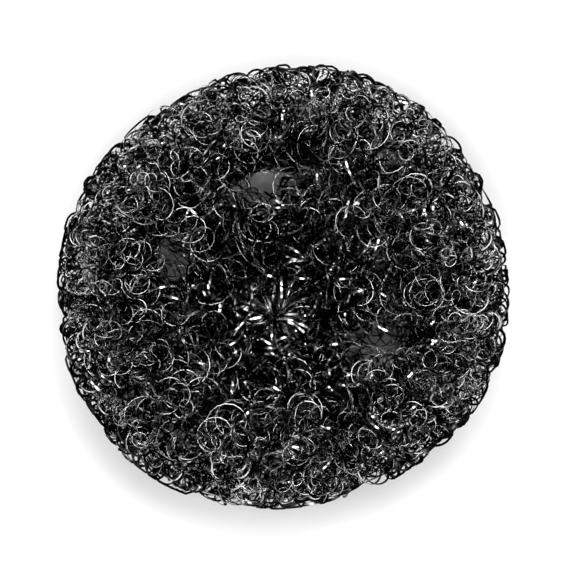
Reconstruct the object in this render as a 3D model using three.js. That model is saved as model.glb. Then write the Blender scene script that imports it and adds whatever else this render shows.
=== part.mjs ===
// A stainless steel scourer: one flat ribbon, coiled like a spring. The coil runs once round inside the ring
// as a filling, and then lap after lap over the ring and through its gathered centre.
// Millimetres, +Z up, standing on its lowest loops with the origin under its middle.
import * as THREE from 'three';

// Overall size
const DIAMETER = 91; // mean outline, over the widest loops of the rim
const HEIGHT = 30; // table to the top of the widest loops
const OVAL = 1; // added to the radius along the long diameter and taken off across it
const OVAL_ANGLE = 50; // degrees, direction of the long diameter

// Ribbon
const RIBBON_WIDTH = 1.6;
const RIBBON_THICKNESS = 0.7;
const FACET_LENGTH = 3.9; // straight pieces that stand for the ribbon's curve

// Coil
const COIL_DIAMETER = 8.6; // widest loop, over the ribbon
const LAPS = 28; // times the coil passes through the centre
const TURNS_PER_LAP = 12;
const STRETCH = 0.75; // share by which the turns open at the centre and close up at the rim
const LAP_SHARE = 0.58; // most that a coil's radius takes up of the spacing between two laps
const UNEVENNESS = 0.3; // share by which the smallest loops are narrower than the widest
const UNEVEN_PERIOD = 2.7; // turns from one widest loop to the next
const LEAN = 14; // degrees by which a lap swings round on its way over the crest
const LAST_LAP_CUT = 0.16; // share of the last lap that is left open

// Ring and web
const CREST_RADIUS = 32; // where the ring stands highest
const WEB_RADIUS = 18; // where the web ends and the ring rises from it
const WEB_HEIGHT = 8; // between the axes of the web's upper and lower coils there

// Gathered centre
const GATHER_RADIUS = 3.9; // mean radius at which the laps pass through the centre
const GATHER_STAGGER = 2; // laps pass up to this much nearer to the middle or further from it, in turn
const GATHER_HEIGHT = 6; // mean length of the passage
const GATHER_NESTING = 0.6; // share by which the innermost passage is longer and the outermost shorter
const GATHER_REACH = 0.11; // share of a lap over which the gather lets go of the coil
const GATHER_SLACK = 0.3; // share of its width that the coil keeps in the gather
const GATHER_OFFSET = new THREE.Vector2(-1.7, -6.2); // the gather sits off the ring's middle

// Filling inside the ring
const FILLING_TURNS = 22;
const FILLING_CLEARANCE = 0.8; // to the coils of the ring
const FILLING_EXIT = 0.03; // share of the way round over which the filling climbs to the first lap

// Rest
const PRESSED_FLAT = 1.2; // how far the table presses the lowest loops in

const { lerp, smoothstep, degToRad } = THREE.MathUtils;
const MIDDLE = (HEIGHT - PRESSED_FLAT) / 2; // height of the ring's middle
const TABLE_LEVEL = RIBBON_THICKNESS / 2; // centreline of a ribbon that lies on the table
const RIM_SHARE = 0.5; // of a lap, counted from the gather
const EDGE_ON = 0.25; // of a turn, so that the ribbon passes through the gather edge-on
const SAMPLES_PER_TURN = 30;
const SECTION_SAMPLES = 400;

// The coil's axis in the ring's section, from the gather over the top and the rim and back underneath.
// x is the distance from the middle and y the height.
function ringSection() {
  const halfWidth = (DIAMETER - COIL_DIAMETER) / 2 - CREST_RADIUS;
  const halfHeight = (HEIGHT + PRESSED_FLAT - COIL_DIAMETER) / 2;
  const points = [
    [GATHER_RADIUS, GATHER_HEIGHT / 2],
    [WEB_RADIUS, WEB_HEIGHT / 2],
  ];
  for (let angle = 120; angle >= -120; angle -= 30) {
    const turned = degToRad(angle);
    points.push([CREST_RADIUS + halfWidth * Math.cos(turned), halfHeight * Math.sin(turned)]);
  }
  points.push([WEB_RADIUS, -WEB_HEIGHT / 2], [GATHER_RADIUS, -GATHER_HEIGHT / 2]);
  const knots = points.map(([radius, rise]) => new THREE.Vector3(radius, MIDDLE + rise, 0));
  const curve = new THREE.CatmullRomCurve3(knots, true, 'centripetal');
  curve.arcLengthDivisions = SECTION_SAMPLES;
  return curve;
}

// The ribbon's centreline. The filling is the lap before lap 0, and lap 0 starts at the rim.
class CoiledRibbon extends THREE.Curve {
  constructor() {
    super();
    this.arcLengthDivisions = SAMPLES_PER_TURN * TURNS_PER_LAP * LAPS;
    this.section = ringSection();
    this.core = new THREE.Vector3(CREST_RADIUS, MIDDLE, 0);
    const distances = this.section.getPoints(SECTION_SAMPLES).map((point) => point.distanceTo(this.core));
    const room = Math.min(...distances) - COIL_DIAMETER / 2;
    this.coreCoil = room - FILLING_CLEARANCE - RIBBON_THICKNESS / 2;
  }

  // Where the coil's axis runs, how wide the coil is there and how far it has turned.
  station(t) {
    const lap = lerp(-1, LAPS - LAST_LAP_CUT, t);
    const laps = Math.max(lap, 0) + RIM_SHARE;
    const share = laps % 1;
    const axis = this.section.getPointAt(share);
    const along = this.section.getTangentAt(share);
    const climb = smoothstep(lap, -FILLING_EXIT, 0);

    const gathered = Math.exp(-((Math.min(share, 1 - share) / GATHER_REACH) ** 2));
    const nested = -Math.cos((Math.PI / 2) * laps) * gathered;
    const radius = axis.x - GATHER_STAGGER * nested;
    const height = MIDDLE + (axis.y - MIDDLE) * (1 + GATHER_NESTING * nested);

    const wound = laps - (STRETCH / (2 * Math.PI)) * Math.sin(2 * Math.PI * laps);
    const turns = TURNS_PER_LAP * wound + FILLING_TURNS * Math.min(lap, 0) + EDGE_ON;
    const narrowed = 1 - UNEVENNESS * Math.sin((Math.PI * turns) / UNEVEN_PERIOD) ** 2;
    const spacing = (2 * Math.PI * radius) / LAPS;
    const widest = Math.min((COIL_DIAMETER - RIBBON_THICKNESS) / 2, LAP_SHARE * spacing);
    const lean = degToRad(LEAN) * Math.sin(2 * Math.PI * laps);
    return {
      along,
      climb,
      radius: lerp(this.core.x, radius, climb),
      height: lerp(this.core.y, height, climb),
      angle: lean - (2 * Math.PI * lap) / (lap < 0 ? 1 : LAPS),
      coil: narrowed * lerp(this.coreCoil, widest * lerp(1, GATHER_SLACK, gathered), climb),
      turned: 2 * Math.PI * turns,
    };
  }

  // A point of the ribbon, or of the coil's axis where swell is 0.
  pointOf(t, swell, target) {
    const { along, climb, radius, height, angle, coil, turned } = this.station(t);
    const outwards = swell * coil * Math.cos(turned);
    const sideways = -swell * coil * Math.sin(turned);
    const pull = smoothstep(CREST_RADIUS - radius, 0, CREST_RADIUS);
    const lobe = Math.cos(2 * (angle - degToRad(OVAL_ANGLE)));
    const oval = 1 + (OVAL / (DIAMETER / 2)) * lobe * (1 - pull);
    const place = new THREE.Vector2(radius - outwards * along.y, sideways * climb);
    place.rotateAround(new THREE.Vector2(), angle).multiplyScalar(oval).addScaledVector(GATHER_OFFSET, pull);
    const level = height + outwards * along.x + sideways * (1 - climb);
    return target.set(place.x, place.y, Math.max(level, TABLE_LEVEL));
  }

  getPoint(t, target = new THREE.Vector3()) {
    return this.pointOf(t, 1, target);
  }

  // The ribbon lies flat on its coil, so its normal points away from the coil's axis, or down on the table.
  computeFrenetFrames(segments) {
    const tangents = [];
    const normals = [];
    const binormals = [];
    for (let i = 0; i <= segments; i++) {
      const t = this.getUtoTmapping(i / segments);
      const point = this.getPoint(t);
      const tangent = this.getTangent(t);
      const outwards = point.clone().sub(this.pointOf(t, 0, new THREE.Vector3()));
      if (point.z === TABLE_LEVEL) {
        tangent.setZ(0).normalize();
        outwards.set(0, 0, -1);
      }
      const binormal = new THREE.Vector3().crossVectors(tangent, outwards).normalize();
      tangents.push(tangent);
      binormals.push(binormal);
      normals.push(new THREE.Vector3().crossVectors(binormal, tangent));
    }
    return { tangents, normals, binormals };
  }
}

// Flat outside, keeled inside.
function ribbonSection() {
  return new THREE.Shape([
    new THREE.Vector2(RIBBON_THICKNESS / 2, -RIBBON_WIDTH / 2),
    new THREE.Vector2(RIBBON_THICKNESS / 2, RIBBON_WIDTH / 2),
    new THREE.Vector2(-RIBBON_THICKNESS / 2, 0),
  ]);
}

function ribbonGeometry() {
  const path = new CoiledRibbon();
  const steps = Math.round(path.getLength() / FACET_LENGTH);
  return new THREE.ExtrudeGeometry(ribbonSection(), { steps, extrudePath: path });
}

// Brings the origin under the middle, and keeps every corner on or above the table.
function settle(geometry) {
  geometry.computeBoundingBox();
  const { min, max } = geometry.boundingBox;
  geometry.translate(-(min.x + max.x) / 2, -(min.y + max.y) / 2, 0);
  const corners = geometry.getAttribute('position');
  for (let i = 0; i < corners.count; i++) {
    corners.setZ(i, Math.max(corners.getZ(i), 0));
  }
  geometry.computeVertexNormals();
  return geometry;
}

const stainlessSteel = new THREE.MeshStandardMaterial({ color: 0x6f7173, metalness: 1, roughness: 0.25 });
const ribbon = new THREE.Mesh(settle(ribbonGeometry()), stainlessSteel);
ribbon.name = 'coiled_ribbon';

const scourer = new THREE.Group();
scourer.add(ribbon);
export default scourer;
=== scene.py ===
# A stainless steel scourer: flat steel ribbon, coiled like a spring, tangled into a thick ring and drawn
# together in its centre. The values below are in millimetres and degrees, unless a comment says otherwise.
from math import cos, radians, sin, tan

import bmesh
import bpy
import numpy as np
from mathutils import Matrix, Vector


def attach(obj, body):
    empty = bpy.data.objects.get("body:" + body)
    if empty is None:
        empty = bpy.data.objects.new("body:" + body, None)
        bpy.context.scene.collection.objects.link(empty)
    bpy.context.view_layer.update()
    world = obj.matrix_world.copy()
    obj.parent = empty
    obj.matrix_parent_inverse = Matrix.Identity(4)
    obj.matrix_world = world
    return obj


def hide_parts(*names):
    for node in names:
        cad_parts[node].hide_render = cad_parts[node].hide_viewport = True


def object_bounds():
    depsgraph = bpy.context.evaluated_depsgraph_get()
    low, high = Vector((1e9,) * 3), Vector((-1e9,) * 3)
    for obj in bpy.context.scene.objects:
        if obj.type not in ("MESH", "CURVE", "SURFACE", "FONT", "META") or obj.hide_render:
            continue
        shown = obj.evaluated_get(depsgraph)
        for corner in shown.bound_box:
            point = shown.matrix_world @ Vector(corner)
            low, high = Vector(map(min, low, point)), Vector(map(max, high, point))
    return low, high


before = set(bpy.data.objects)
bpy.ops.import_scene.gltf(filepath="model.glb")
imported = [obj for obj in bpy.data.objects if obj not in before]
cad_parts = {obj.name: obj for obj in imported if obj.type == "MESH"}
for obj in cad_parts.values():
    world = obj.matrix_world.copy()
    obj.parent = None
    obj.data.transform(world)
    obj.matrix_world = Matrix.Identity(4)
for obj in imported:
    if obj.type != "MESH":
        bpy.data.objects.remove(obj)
cad_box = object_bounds()

MM = 0.001  # in metres
TINY = 1e-9  # keeps a division from failing at zero
UP = np.array([0, 0, 1])
SEED = 31

# Ribbon
RIBBON_WIDTH = 0.35
RIBBON_THICKNESS = 0.09
GATHERED_WIDTH = 0.42  # where the ribbon is drawn out flat
RIM_WIDTH = 0.46  # of the loops that stand out at the rim
EDGE_ROUNDING = 25  # how far the shading of the edges turns towards the flats
RIBBON_ROLL = 14  # how far a flat tips to either side
GATHERED_ROLL = 50  # the same where the ribbon is drawn out flat
RIM_ROLL = 65  # how far the loops that stand out at the rim lie down flat
FIRST_CUTS = 2  # across the straight blank
HALVINGS = 13  # of each length between them
SEGMENTS = (FIRST_CUTS + 1) * 2**HALVINGS
SEGMENTS_PER_TURN = 14
CORNERS_PER_FACE = 4

# Curls
CURL_PLACES = (10, 25, 35, 44)  # distances from the middle
CURL_RADII = (3.2, 2.7, 1.8, 1.4)  # of the curls there
CURL_VARIATION = 0.25  # share by which curls are wider or narrower
WANDER = 0.7  # how far the coil strays from its route in any direction

# Ring
CAD_HEIGHT = (cad_box[1][2] - cad_box[0][2]) / MM
CAD_RADIUS = (cad_box[1][0] - cad_box[0][0] + cad_box[1][1] - cad_box[0][1]) / 4 / MM
RING_RADIUS = 33.5  # to the middle of the ring's section
RIM_CURL = 1.0  # from the axis of the outermost coils to the outline that presses them flat
CREST_CURL = 1.0  # from the axis of the topmost coils to the top of the solid
RING_HALF_WIDTH = CAD_RADIUS - RING_RADIUS - RIM_CURL
RING_HALF_HEIGHT = CAD_HEIGHT / 2 - CREST_CURL
RING_MIDDLE = CAD_HEIGHT / 2
PACE_RUN = 2  # turns over which the coil bunches up or spreads out
PACE_VARIATION = 0.3  # share by which it does
STRAY_RUN = 3  # turns over which the coil strays along the surface of the ring
STRAY = 2.2  # how far it strays there
RIM_PLAY = 1.8  # how much further in than the outline the loops at the rim may be pressed
RIM_PRESSED = (0.3, 0.5)  # middle and spread of the share of it that they are
RIM_SLANT = -0.3  # how far a lap is shifted round the ring at its top, and back at its bottom, in radians
RIM_FROM = 0.76  # share of the way from the ring's middle to the outermost coils at which the rim begins
RIM_DEPTH = 4  # from the widest loops down to where the rim ends
OUTLINE_LOBES = (
    # how many lobes go round the outline, share added at their tops, direction of the first
    (2, 0.020, 30),
    (3, 0.0066, -37),
    (4, 0.0116, -29),
)
RING_LAYERS = (
    # name, share of the section's width and of its height, laps round the section, rounds of the ring,
    # turns a curl keeps its tilt, how far it tumbles, which way round it coils
    ("ring_outer_curls", 1.0, 1.0, 90, 1, 2.5, 0.26, -1),
    ("ring_middle_curls", 0.86, 0.88, 21, 20, 2.5, 0.26, 1),
    ("ring_inner_curls", 0.65, 0.65, 60, 11, 2.5, 0.3, -1),
)

# Web and gathered centre
WEB_LAYERS = (
    # name, share of the section, of the way it is drawn aside, relative pitch in the web and in the ring,
    # distance from the gather over which it is drawn out straight,
    # turns a curl keeps its tilt, how far it tumbles, which way round it coils
    ("web_outer_curls", 1.0, 0.3, 2.6, 2.1, 14, 2.5, 0.32, -1),
    ("web_inner_curls", 0.55, 0.85, 1.0, 4.0, 7, 2.0, 0.8, -1),
)
WEB_LAPS = 40  # of each layer over the ring and through the gather
WEB_RADIUS = 19  # where the web ends and the ring rises from it
WEB_FADE = WEB_RADIUS / 3  # distance over which the one passes into the other
WEB_END = 36  # from here to the rim a lap moves on to the next spoke
WEB_HALF_HEIGHT = 5.5  # of the coils' axes where the web ends
DISH_RADIUS = 10  # within it the pad is lowest
DISH_HALF_HEIGHT = 4.5  # of the coils' axes there
GATHER_RADIUS = 2.2  # at which the laps pass through the gather
GATHER_HALF_HEIGHT = 3.5  # of their axes there
GATHER_OFFSET = np.array([-1.7, -6.2])  # the gather sits off the ring's middle
GATHERED_CURL = 0.45  # radius of the curls that are left in the gather
PITCH_AT_GATHER = 14  # relative, as the pitches of the layers are
SECTION_SAMPLES = 600
SECTION_TURN = 120  # the ring's section is round this far to either side of its rim
SECTION_STEP = 30
LAP_JITTER = 0.5  # share of the spacing by which a lap strays to the side
SEE_THROUGH_PLACES = (
    # x, y, half length round the pad, half width, both clear of the coil's axis
    (-4.2, 23.0, 18.0, 4.0),
    (-22.0, 6.5, 9.0, 6.5),
    (19.0, -11.0, 11.0, 7.2),
    (-18.0, -4.0, 5.5, 5.0),
)

# Picture
PICTURE_PIXELS = 576
PIXEL = 0.2011  # width of a pixel at the pad
PICTURE_WIDTH = PICTURE_PIXELS * PIXEL
ELEVATION = 85
LENS = 120
SENSOR = 36
AIM = (0.85, 0.2, 12)
NEAREST = 10  # what is nearer to the camera isn't drawn

# Steel, whose colour holds painted shade and painted light
STEEL = (0.74, 0.745, 0.75, 1)
STEEL_IN_PAINTED_SHADE = (0.008, 0.008, 0.008, 1)  # painted shade: the steel's colour where turns that the model leaves out would shade it
SHADED_TO = 0.86  # share of the way out to the surface up to which the ribbon's colour is painted in shade
OPEN_FROM = 1.0  # share of the way out from which its colour is painted open to the light
LIT_RUN = 5  # segments over which the painted shade of other turns comes and goes along the ribbon
LIT = (0.12, 0.95)  # middle and spread of the painted light that comes and goes near the surface
GATHER_LIT_RUN = 3  # segments over which the painted highlights come and go where the ribbon is drawn out flat
LIT_IN_GATHER = (0.1, 0.85)  # middle and spread of those painted highlights
SPECK_RUN = 2  # segments of a painted glint deep inside
SPECKS = (-0.6, 1.2)  # middle and spread of such painted glints, which are few
RIM_SHADE = 0.97  # painted shade of the loops that stand out at the rim, which turns them almost black
ROUGHNESS = (0.1, 0.3)
DRAWN_LINES = (0.3, 8, 8)  # marks per millimetre along, across and through the ribbon

# Studio, in metres
STAGE_RADIUS = 2
STAGE_SIDES = 96
WORKTOP_WHITE = (0.98, 0.98, 0.98, 1)
WORKTOP_ROUGHNESS = 0.8
WORKTOP_GLOSS = 0.1
BACKDROP_HEIGHT = 0.42
ROOM = (0.02, 0.02, 0.02, 1)
SOFTBOX_DISTANCE = 9.6
SOFTBOXES = (
    # name, direction round the pad and elevation in degrees, width, watts
    ("back_softbox", 80, 66, 4.8, 504),
    ("front_softbox", -95, 64, 4.8, 468),
    ("right_softbox", 5, 60, 3.6, 216),
    ("left_softbox", 175, 60, 3.6, 216),
)


def unit(vectors):
    return vectors / np.maximum(np.linalg.norm(vectors, axis=1, keepdims=True), TINY)


def ease(share):
    """Shares that start gently at 0 and stop gently at 1."""
    share = np.clip(share, 0, 1)
    return share * share * (3 - 2 * share)


def drift(rng, run, width=1):
    """Smooth random numbers of about unit size along a ribbon, which change over run segments."""
    knots = rng.normal(size=(int((SEGMENTS + 1) / run) + 3, width))
    place = np.arange(SEGMENTS + 1) / run
    before = place.astype(int)
    share = ease(place - before)[:, None]
    return knots[before] * (1 - share) + knots[before + 1] * share


def comes_and_goes(rng, run, middle, spread):
    """Shares along a ribbon that stay between 0 and 1 and change over run segments."""
    return ease(middle + spread * drift(rng, run)[:, 0])


def vectors_of(parts, name):
    """A vector property of all vertices or faces of a mesh, one to a row."""
    values = np.empty(len(parts) * 3)
    parts.foreach_get(name, values)
    return values.reshape(-1, 3)


def ribbon_blank():
    """A straight ribbon along x from 0 to 1, whose edges lie at -1 and 1 in y and z."""
    bm = bmesh.new()
    bmesh.ops.create_cube(bm, size=2)
    bmesh.ops.translate(bm, verts=bm.verts, vec=(1, 0, 0))
    bmesh.ops.scale(bm, verts=bm.verts, vec=(0.5, 1, 1))
    for cuts in (FIRST_CUTS,) + (1,) * HALVINGS:
        lengthwise = [edge for edge in bm.edges if edge.verts[0].co.yz == edge.verts[1].co.yz]
        bmesh.ops.subdivide_edges(bm, edges=lengthwise, cuts=cuts, use_grid_fill=True)
    mesh = bpy.data.meshes.new("ribbon_blank")
    bm.to_mesh(mesh)
    bm.free()
    return mesh


def outline(angle):
    """The pad's outline in each direction, as a share of its mean radius."""
    lobed = sum(share * np.cos(lobes * (angle - radians(first))) for lobes, share, first in OUTLINE_LOBES)
    return 1 + lobed


def pull(radius):
    """How much of the gather's offset a point at this radius takes up."""
    return ease((RING_RADIUS - radius) / RING_RADIUS)


def placed(angle, radius, height):
    """Points from their polar places in a round pad with its gather in the middle."""
    pulled = pull(radius)
    radius = radius * (1 + (outline(angle) - 1) * (1 - pulled))
    place = np.stack([radius * np.cos(angle), radius * np.sin(angle)], axis=1)
    return np.column_stack([place + pulled[:, None] * GATHER_OFFSET, height])


def see_through_places():
    """Radius, angle and half lengths of each place, in a round pad with its gather in the middle."""
    for x, y, half_length, half_width in SEE_THROUGH_PLACES:
        x, y = np.array([x, y]) - pull(np.hypot(x, y)) * GATHER_OFFSET
        yield np.hypot(x, y), np.arctan2(y, x), half_length, half_width


def between(angle, other):
    """The turn from the other angle to this one, half a turn at most either way."""
    return (angle - other + np.pi) % (2 * np.pi) - np.pi


def kept_clear(distance, gap):
    """Distances that come no nearer than the gap, and change less the longer they are."""
    return (distance**3 + gap**3) ** (1 / 3)


def parted_aside(angle, radius, share):
    """Draws laps that run outwards aside round the places where the table shows through."""
    parted = angle.copy()
    for middle, bearing, half_length, half_width in see_through_places():
        gap = share * half_length / radius * np.exp(-(((radius - middle) / half_width) ** 2))
        beside = between(angle, bearing)
        parted += np.sign(beside) * (kept_clear(np.abs(beside), gap) - np.abs(beside))
    return parted


def parted_outwards(angle, radius):
    """Draws the ring back from the places where the table shows through."""
    for middle, bearing, half_length, half_width in see_through_places():
        gap = half_width * np.exp(-((middle * between(angle, bearing) / half_length) ** 2))
        radius = middle + kept_clear(np.maximum(radius - middle, 0), gap)
    return radius


def ring_route(rng, width, height, laps, rounds):
    """The axis of a coil that winds round the section as it goes round the ring, nowhere drawn out."""
    pace = np.exp(PACE_VARIATION * drift(rng, PACE_RUN * SEGMENTS_PER_TURN)[:, 0])
    done = np.cumsum(pace) / pace.sum()
    stray = STRAY * drift(rng, STRAY_RUN * SEGMENTS_PER_TURN, width=2)
    turned = 2 * np.pi * (laps * done + rng.random()) + stray[:, 0] / RING_HALF_WIDTH
    angle = 2 * np.pi * (rounds * done + rng.random()) + stray[:, 1] / RING_RADIUS
    angle = angle + RIM_SLANT * np.sin(turned)
    radius = RING_RADIUS + width * RING_HALF_WIDTH * np.cos(turned)
    level = RING_MIDDLE + height * RING_HALF_HEIGHT * np.sin(turned)
    return placed(angle, parted_outwards(angle, radius), level), np.zeros(SEGMENTS + 1)


def smooth_loop(knots, samples):
    """Points along a smooth closed curve through the knots."""
    knots = np.array(knots, float)
    place = np.arange(samples) * len(knots) / samples
    first = place.astype(int)
    t = (place - first)[:, None]
    a, b, c, d = (knots[(first + step) % len(knots)] for step in (-1, 0, 1, 2))
    return 0.5 * (2 * b + (c - a) * t + (2 * a - 5 * b + 4 * c - d) * t**2 + (3 * b - a - 3 * c + d) * t**3)


def lap_section(share):
    """Distance from the gather and height along one lap: out over the web, round the ring and back."""
    knots = [(GATHER_RADIUS, share * GATHER_HALF_HEIGHT), (WEB_RADIUS, share * WEB_HALF_HEIGHT)]
    for angle in range(SECTION_TURN, -SECTION_TURN - 1, -SECTION_STEP):
        out = RING_RADIUS + share * RING_HALF_WIDTH * cos(radians(angle))
        knots.append((out, share * RING_HALF_HEIGHT * sin(radians(angle))))
    knots += [(WEB_RADIUS, -share * WEB_HALF_HEIGHT), (GATHER_RADIUS, -share * GATHER_HALF_HEIGHT)]
    return smooth_loop(knots, SECTION_SAMPLES)


def stepped(rng, steps, count):
    """Angles of count spokes, which step from one to the next, at each of the steps' places."""
    angles = 2 * np.pi * (np.arange(-1, count + 2) + LAP_JITTER * rng.normal(size=count + 3)) / count
    before = np.floor(steps).astype(int)
    share = ease(steps - before)
    return angles[before + 1] * (1 - share) + angles[before + 2] * share


def web_route(rng, share, aside_share, pitch_in_web, pitch_in_ring, reach):
    """The axis of a coil lap after lap over the ring and through the gather, and how far it is drawn out."""
    section = lap_section(share)
    steps = np.linalg.norm(np.roll(section, -1, axis=0) - section, axis=1)
    pitch_places = (reach / 2, reach, WEB_RADIUS, RING_RADIUS)
    pitches = (PITCH_AT_GATHER, pitch_in_web, pitch_in_web, pitch_in_ring)
    pitch = np.interp(section[:, 0], pitch_places, pitches)
    turned = np.concatenate([[0], np.cumsum(steps / pitch)])
    turned /= turned[-1]
    whole, done = np.divmod(WEB_LAPS * np.linspace(0, 1, SEGMENTS + 1), 1)
    closed = np.concatenate([section, section[:1]])
    radius = np.interp(done, turned, closed[:, 0])
    height = RING_MIDDLE + np.interp(done, turned, closed[:, 1])

    # A lap goes out along one spoke and back along the next, and changes over at the rim and in the gather.
    web_start = turned[np.argmax(section[:, 0] > reach / 2)]
    web_end = turned[np.argmax(section[:, 0] > WEB_END)]
    lap_places = (0, web_start, web_end, 1 - web_end, 1 - web_start, 1)
    spoke = 2 * whole + np.interp(done, lap_places, (-0.5, 0, 0, 1, 1, 1.5))
    angle = parted_aside(stepped(rng, spoke, 2 * WEB_LAPS), radius, aside_share)
    drawn_out = 1 - ease((radius - GATHER_RADIUS) / reach)
    return placed(angle, radius, height), drawn_out


def kept_in(centres):
    """The coil's axis kept inside the pad, how lit its painted colour is, and how far it is at the rim."""
    angle = np.arctan2(centres[:, 1], centres[:, 0])
    radius = np.hypot(centres[:, 0], centres[:, 1]) / outline(angle)
    beyond = np.maximum(radius - RING_RADIUS, 0) / RING_HALF_WIDTH
    slope = ease((radius - DISH_RADIUS) / (RING_RADIUS - DISH_RADIUS))
    half_height = DISH_HALF_HEIGHT + (RING_HALF_HEIGHT - DISH_HALF_HEIGHT) * slope
    rise = centres[:, 2] - RING_MIDDLE
    over = np.maximum(np.hypot(beyond, rise / half_height), 1)
    inwards = (np.minimum(radius, RING_RADIUS) + beyond / over * RING_HALF_WIDTH) / np.maximum(radius, TINY)
    kept = np.column_stack([centres[:, :2] * inwards[:, None], RING_MIDDLE + rise / over])

    # Painted shade: the deeper under the pad's surface, the darker the ribbon's painted colour.
    in_web = np.abs(rise) / DISH_HALF_HEIGHT
    in_ring = np.hypot((radius - RING_RADIUS) / RING_HALF_WIDTH, rise / RING_HALF_HEIGHT)
    ring_share = ease((radius - WEB_RADIUS) / WEB_FADE)
    way_out = in_web * (1 - ring_share) + in_ring * ring_share
    open_to_light = ease((way_out - SHADED_TO) / (OPEN_FROM - SHADED_TO))
    # Painted shade at the rim; the same share also widens the rim loops and lays them down.
    at_rim = ease((beyond - RIM_FROM) / (1 - RIM_FROM)) * ease(1 + rise / RIM_DEPTH)
    return kept, open_to_light, at_rim


def tumbling(rng, run, tumble):
    """Two unit vectors across each turn of a coil, which roll about as the ribbon goes along."""
    turn = drift(rng, run, width=4) * tumble
    turn[:, 0] += 1
    w, x, y, z = unit(turn).T
    across = np.stack([1 - 2 * (y * y + z * z), 2 * (x * y + w * z), 2 * (x * z - w * y)], axis=1)
    beside = np.stack([2 * (x * y - w * z), 1 - 2 * (x * x + z * z), 2 * (y * z + w * x)], axis=1)
    return across, beside


def coiled(rng, centres, drawn_out, run, tumble, hand):
    """The middle line of a ribbon that is coiled round the centres, and its directions away from them."""
    slack = 1 - drawn_out
    along = unit(np.gradient(centres, axis=0))
    across, beside = tumbling(rng, run, tumble)
    facing = unit(np.cross(across, beside) * slack + along * drawn_out)
    across = unit(across - facing * np.sum(across * facing, axis=1, keepdims=True))
    beside = np.cross(facing, across)
    curl = np.interp(np.hypot(centres[:, 0], centres[:, 1]), CURL_PLACES, CURL_RADII)[:, None]
    curl = curl * np.exp(CURL_VARIATION * drift(rng, run))
    curl = curl * slack + GATHERED_CURL * drawn_out
    phase = (hand * 2 * np.pi * np.arange(SEGMENTS + 1) / SEGMENTS_PER_TURN)[:, None]
    outwards = across * np.cos(phase) + beside * np.sin(phase)
    path = centres + curl * outwards

    # The table and the outline press the loops flat.
    path[:, 2] = np.maximum(path[:, 2], RIBBON_THICKNESS / 2)
    radius = np.hypot(path[:, 0], path[:, 1])
    limit = CAD_RADIUS * outline(np.arctan2(path[:, 1], path[:, 0]))
    limit = limit - RIM_PLAY * comes_and_goes(rng, run, *RIM_PRESSED)
    path[:, :2] *= np.minimum(1, limit / np.maximum(radius, TINY))[:, None]
    return path, outwards


def turned_flats(rng, path, outwards, drawn_out, at_rim, run):
    """Unit vectors along the ribbon, towards its edge and away from its flat."""
    slack = 1 - drawn_out
    forward = unit(np.gradient(path, axis=0))
    sideways = unit(np.cross(outwards, forward))
    outwards = np.cross(forward, sideways)
    upwards = unit(UP - forward * forward[:, 2:])
    outwards = unit(outwards * slack + upwards * drawn_out)
    sideways = np.cross(outwards, forward)
    roll = (RIBBON_ROLL * slack + GATHERED_ROLL * drawn_out) * drift(rng, run) + RIM_ROLL * at_rim
    roll = np.radians(roll)
    flat = outwards * np.cos(roll) + sideways * np.sin(roll)
    edge = sideways * np.cos(roll) - outwards * np.sin(roll)
    return forward, edge, flat


def light_along(rng, open_to_light, drawn_out, at_rim):
    """Painted light along a ribbon, from 0 in painted shade of other turns to 1, with painted glints."""
    # Painted light that comes and goes along the ribbon near the surface.
    lit = open_to_light * comes_and_goes(rng, LIT_RUN, *LIT)
    # Painted glints deep inside.
    specks = comes_and_goes(rng, SPECK_RUN, *SPECKS)
    # Painted highlights where the ribbon is drawn out in the gather.
    gathered = np.sqrt(drawn_out) * comes_and_goes(rng, GATHER_LIT_RUN, *LIT_IN_GATHER)
    # Painted shade almost blackens the loops that stand out at the rim.
    return np.maximum.reduce([lit, specks, gathered]) * (1 - RIM_SHADE * at_rim)


def edge_normals(blank, forward, edge, flat):
    """Shading normals of a wound ribbon: its flats stay flat and its edges are rounded."""
    facing = np.repeat(np.rint(vectors_of(blank.polygons, "normal")), CORNERS_PER_FACE, axis=0)
    corner = np.empty(len(blank.loops), int)
    blank.loops.foreach_get("vertex_index", corner)
    places = vectors_of(blank.vertices, "co")[corner]
    station = np.rint(places[:, 0] * SEGMENTS).astype(int)
    rounding = np.abs(facing[:, 1]) * np.sign(places[:, 2]) * tan(radians(EDGE_ROUNDING))
    towards_edge = facing[:, 1:2] * edge[station]
    towards_flat = (facing[:, 2] + rounding)[:, None] * flat[station]
    return unit(facing[:, :1] * forward[station] + towards_edge + towards_flat)


def ribbon_mesh(name, blank, path, forward, edge, flat, width, light):
    """The blank laid along the path, with the painted light and the places on the ribbon that its steel
    reads.
    """
    mesh = blank.copy()
    mesh.name = name
    corners = vectors_of(mesh.vertices, "co")
    station = np.rint(corners[:, 0] * SEGMENTS).astype(int)
    across = np.sign(corners[:, 1:2]) * width[station] / 2
    through = np.sign(corners[:, 2:3]) * RIBBON_THICKNESS / 2
    places = path[station] + across * edge[station] + through * flat[station]
    places[:, 2] = np.maximum(places[:, 2], 0)
    mesh.vertices.foreach_set("co", (places * MM).ravel())
    mesh.normals_split_custom_set(edge_normals(blank, forward, edge, flat))
    painted_light = mesh.attributes.new("painted_light", "FLOAT", "POINT")
    painted_light.data.foreach_set("value", light[station])
    place = mesh.attributes.new("place_on_ribbon", "FLOAT_VECTOR", "POINT")
    lengths = np.concatenate([[0], np.cumsum(np.linalg.norm(np.diff(path, axis=0), axis=1))])
    place.data.foreach_set("vector", np.column_stack([lengths[station], across, through]).ravel())
    return mesh


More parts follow.
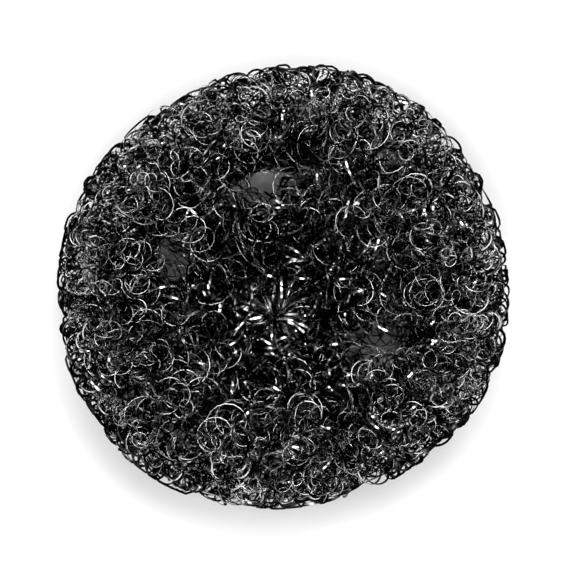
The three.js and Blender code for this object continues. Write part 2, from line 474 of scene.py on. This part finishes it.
def wind(name, blank, centres, drawn_out, run, tumble, hand, rng):
    """A ribbon coiled along the centres, drawn out straight where drawn_out is 1."""
    run = run * SEGMENTS_PER_TURN
    drawn_out = drawn_out[:, None]
    slack = 1 - drawn_out
    centres, open_to_light, at_rim = kept_in(centres + WANDER * slack * drift(rng, run, width=3))
    path, outwards = coiled(rng, centres, drawn_out, run, tumble, hand)
    forward, edge, flat = turned_flats(rng, path, outwards, drawn_out, at_rim[:, None], run)
    width = RIBBON_WIDTH * slack + GATHERED_WIDTH * drawn_out
    width = width + (RIM_WIDTH - RIBBON_WIDTH) * at_rim[:, None]
    light = light_along(rng, open_to_light, drawn_out[:, 0], at_rim)
    mesh = ribbon_mesh(name, blank, path, forward, edge, flat, width, light)
    piece = bpy.data.objects.new(name, mesh)
    bpy.context.collection.objects.link(piece)
    return piece


def stainless_steel():
    """Bright rolled steel with fine lines along it; painted shade darkens it where other turns would shade
    it.
    """
    material = bpy.data.materials.new("stainless_steel")
    material.use_nodes = True
    nodes = material.node_tree.nodes
    links = material.node_tree.links
    shader = nodes["Principled BSDF"]
    shader.inputs["Metallic"].default_value = 1

    painted_light = nodes.new("ShaderNodeAttribute")
    painted_light.attribute_name = "painted_light"
    # Painted shade: base colour and reflection tint go from shaded to bright steel by the painted light.
    steel = nodes.new("ShaderNodeMix")
    steel.data_type = "RGBA"
    steel.inputs["A"].default_value = STEEL_IN_PAINTED_SHADE
    steel.inputs["B"].default_value = STEEL
    links.new(painted_light.outputs["Fac"], steel.inputs["Factor"])
    links.new(steel.outputs["Result"], shader.inputs["Base Color"])
    links.new(steel.outputs["Result"], shader.inputs["Specular Tint"])

    place = nodes.new("ShaderNodeAttribute")
    place.attribute_name = "place_on_ribbon"
    stretch = nodes.new("ShaderNodeVectorMath")
    stretch.operation = "MULTIPLY"
    stretch.inputs[1].default_value = DRAWN_LINES
    lines = nodes.new("ShaderNodeTexNoise")
    lines.inputs["Scale"].default_value = 1
    roughness = nodes.new("ShaderNodeMapRange")
    roughness.inputs["To Min"].default_value = ROUGHNESS[0]
    roughness.inputs["To Max"].default_value = ROUGHNESS[1]
    links.new(place.outputs["Vector"], stretch.inputs[0])
    links.new(stretch.outputs["Vector"], lines.inputs["Vector"])
    links.new(lines.outputs["Fac"], roughness.inputs["Value"])
    links.new(roughness.outputs["Result"], shader.inputs["Roughness"])
    return material


def scourer():
    """Five ribbons in the place of the solid one: three layers of the ring and two of the web."""
    blank = ribbon_blank()
    blank.materials.append(stainless_steel())
    pieces = []
    for route, layers in ((ring_route, RING_LAYERS), (web_route, WEB_LAYERS)):
        for name, *sizes, run, tumble, hand in layers:
            rng = np.random.default_rng(SEED + len(pieces))
            centres, drawn_out = route(rng, *sizes)
            pieces.append(wind(name, blank, centres, drawn_out, run, tumble, hand, rng))
    for piece in pieces:
        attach(piece, "root")
        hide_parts("coiled_ribbon")
    bpy.data.meshes.remove(blank)


def stage_piece(name, bm, material):
    mesh = bpy.data.meshes.new(name)
    bm.to_mesh(mesh)
    bm.free()
    mesh.materials.append(material)
    piece = bpy.data.objects.new(name, mesh)
    bpy.context.collection.objects.link(piece)


def white_worktop():
    material = bpy.data.materials.new("white_worktop")
    material.use_nodes = True
    shader = material.node_tree.nodes["Principled BSDF"]
    shader.inputs["Base Color"].default_value = WORKTOP_WHITE
    shader.inputs["Roughness"].default_value = WORKTOP_ROUGHNESS
    shader.inputs["Specular IOR Level"].default_value = WORKTOP_GLOSS
    return material


def either(material, first, second):
    """The larger of two values among a material's nodes."""
    larger = material.node_tree.nodes.new("ShaderNodeMath")
    larger.operation = "MAXIMUM"
    material.node_tree.links.new(first, larger.inputs[0])
    material.node_tree.links.new(second, larger.inputs[1])
    return larger.outputs["Value"]


def white_backdrop():
    """White to the camera and in reflections, without shedding diffuse light."""
    material = bpy.data.materials.new("white_backdrop")
    material.use_nodes = True
    material.cycles.emission_sampling = "NONE"  # so that the steel mirrors all of its white
    nodes = material.node_tree.nodes
    links = material.node_tree.links
    rays = nodes.new("ShaderNodeLightPath")
    mirrored = either(material, rays.outputs["Is Glossy Ray"], rays.outputs["Is Transmission Ray"])
    shown = either(material, rays.outputs["Is Camera Ray"], mirrored)
    white = nodes.new("ShaderNodeEmission")
    links.new(shown, white.inputs["Strength"])
    links.new(white.outputs["Emission"], nodes["Material Output"].inputs["Surface"])
    return material


def pale_floor():
    bm = bmesh.new()
    bmesh.ops.create_circle(bm, cap_ends=True, radius=STAGE_RADIUS, segments=STAGE_SIDES)
    stage_piece("floor", bm, white_worktop())


def low_wall():
    """The backdrop, which stands round the edge of the floor."""
    bm = bmesh.new()
    bmesh.ops.create_circle(bm, cap_ends=False, radius=STAGE_RADIUS, segments=STAGE_SIDES)
    wall = bmesh.ops.extrude_edge_only(bm, edges=bm.edges)
    top = [part for part in wall["geom"] if isinstance(part, bmesh.types.BMVert)]
    bmesh.ops.translate(bm, verts=top, vec=(0, 0, BACKDROP_HEIGHT))
    stage_piece("backdrop", bm, white_backdrop())


def softbox(name, bearing, elevation, size, power):
    lamp = bpy.data.lights.new(name, "AREA")
    lamp.shape = "SQUARE"
    lamp.size = size
    lamp.energy = power
    box = bpy.data.objects.new(name, lamp)
    level = cos(radians(elevation))
    away = Vector((level * cos(radians(bearing)), level * sin(radians(bearing)), sin(radians(elevation))))
    box.location = away * SOFTBOX_DISTANCE
    box.rotation_euler = (-away).to_track_quat("-Z", "Y").to_euler()
    bpy.context.collection.objects.link(box)


def studio():
    """A white floor and backdrop in a dim room, with soft lamps all round."""
    pale_floor()
    low_wall()
    world = bpy.data.worlds.new("studio")
    world.use_nodes = True
    world.node_tree.nodes["Background"].inputs["Color"].default_value = ROOM
    bpy.context.scene.world = world
    for box in SOFTBOXES:
        softbox(*box)


def camera():
    """Looks down on the pad from almost straight above."""
    lens = bpy.data.cameras.new("camera")
    lens.lens = LENS
    lens.sensor_width = SENSOR
    lens.clip_start = NEAREST * MM
    eye = bpy.data.objects.new("camera", lens)
    distance = PICTURE_WIDTH * LENS / SENSOR
    away = Vector((0, -cos(radians(ELEVATION)), sin(radians(ELEVATION))))
    eye.location = (Vector(AIM) + away * distance) * MM
    eye.rotation_euler = (radians(90 - ELEVATION), 0, 0)
    bpy.context.collection.objects.link(eye)
    bpy.context.scene.camera = eye


scourer()
studio()
camera()
bpy.context.scene.view_settings.view_transform = "Standard"
